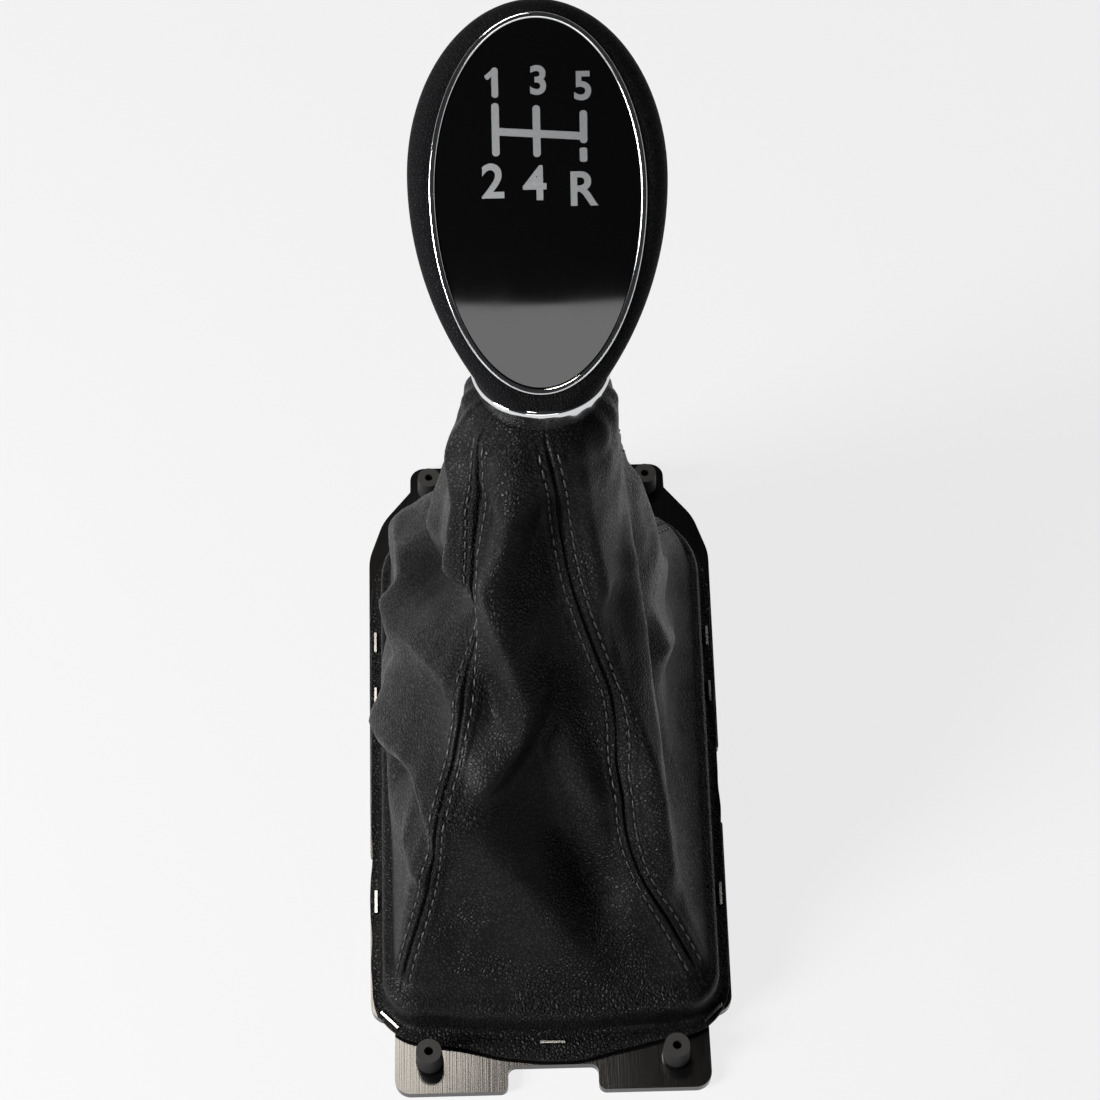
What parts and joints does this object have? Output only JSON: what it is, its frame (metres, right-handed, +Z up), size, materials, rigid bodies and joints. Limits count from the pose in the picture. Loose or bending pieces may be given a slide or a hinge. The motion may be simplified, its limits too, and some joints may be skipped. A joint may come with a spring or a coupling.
{
  "type": "gear lever gaiter",
  "caption": "Leather gear lever gaiter on an oval-cornered plastic frame, with an egg-shaped knob, bright collar and domed face with a shift pattern.",
  "frame": {"origin": "middle of the frame on the surface that its flange stands on", "axes": "+Z up, -Y toward the driver, +X to the driver's right hand side of the lever"},
  "size_m": [0.0932, 0.184, 0.2014],
  "materials": {
    "frame_plastic": "satin moulded",
    "staple_wire": "drawn wire",
    "gaiter_leather": "grained, semi-matt",
    "grip_skin": "fine leather grain",
    "bright_trim": "polished",
    "gloss_face": "high gloss",
    "inner_plastic": "moulded"
  },
  "bodies": {
    "base": {"base_frame": "frame_plastic", "staples": "staple_wire"},
    "gaiter": {"gaiter_front_panel": "gaiter_leather", "gaiter_right_panel": "gaiter_leather", "gaiter_rear_panel": "gaiter_leather", "gaiter_left_panel": "gaiter_leather"},
    "knob": {"knob_shell": "grip_skin", "face_trim_ring": "bright_trim", "face_lens": "gloss_face", "knob_collar": "bright_trim", "lever_socket": "inner_plastic", "neck_ring": "inner_plastic"}
  },
  "joints": [
    {"name": "select", "type": "hinge", "parent": "base", "child": "gaiter", "pos_m": [0, -0.00704, -0.04445], "axis": [0, 1, 0], "range_deg": [-6, 6], "deforming": ["gaiter_front_panel", "gaiter_right_panel", "gaiter_rear_panel", "gaiter_left_panel"]},
    {"name": "shift", "type": "hinge", "parent": "gaiter", "child": "knob", "pos_m": [0, -0.00704, -0.04445], "axis": [-1, 0, 0], "range_deg": [-9, 9], "deforming": ["gaiter_front_panel", "gaiter_right_panel", "gaiter_rear_panel", "gaiter_left_panel"]}
  ]
}
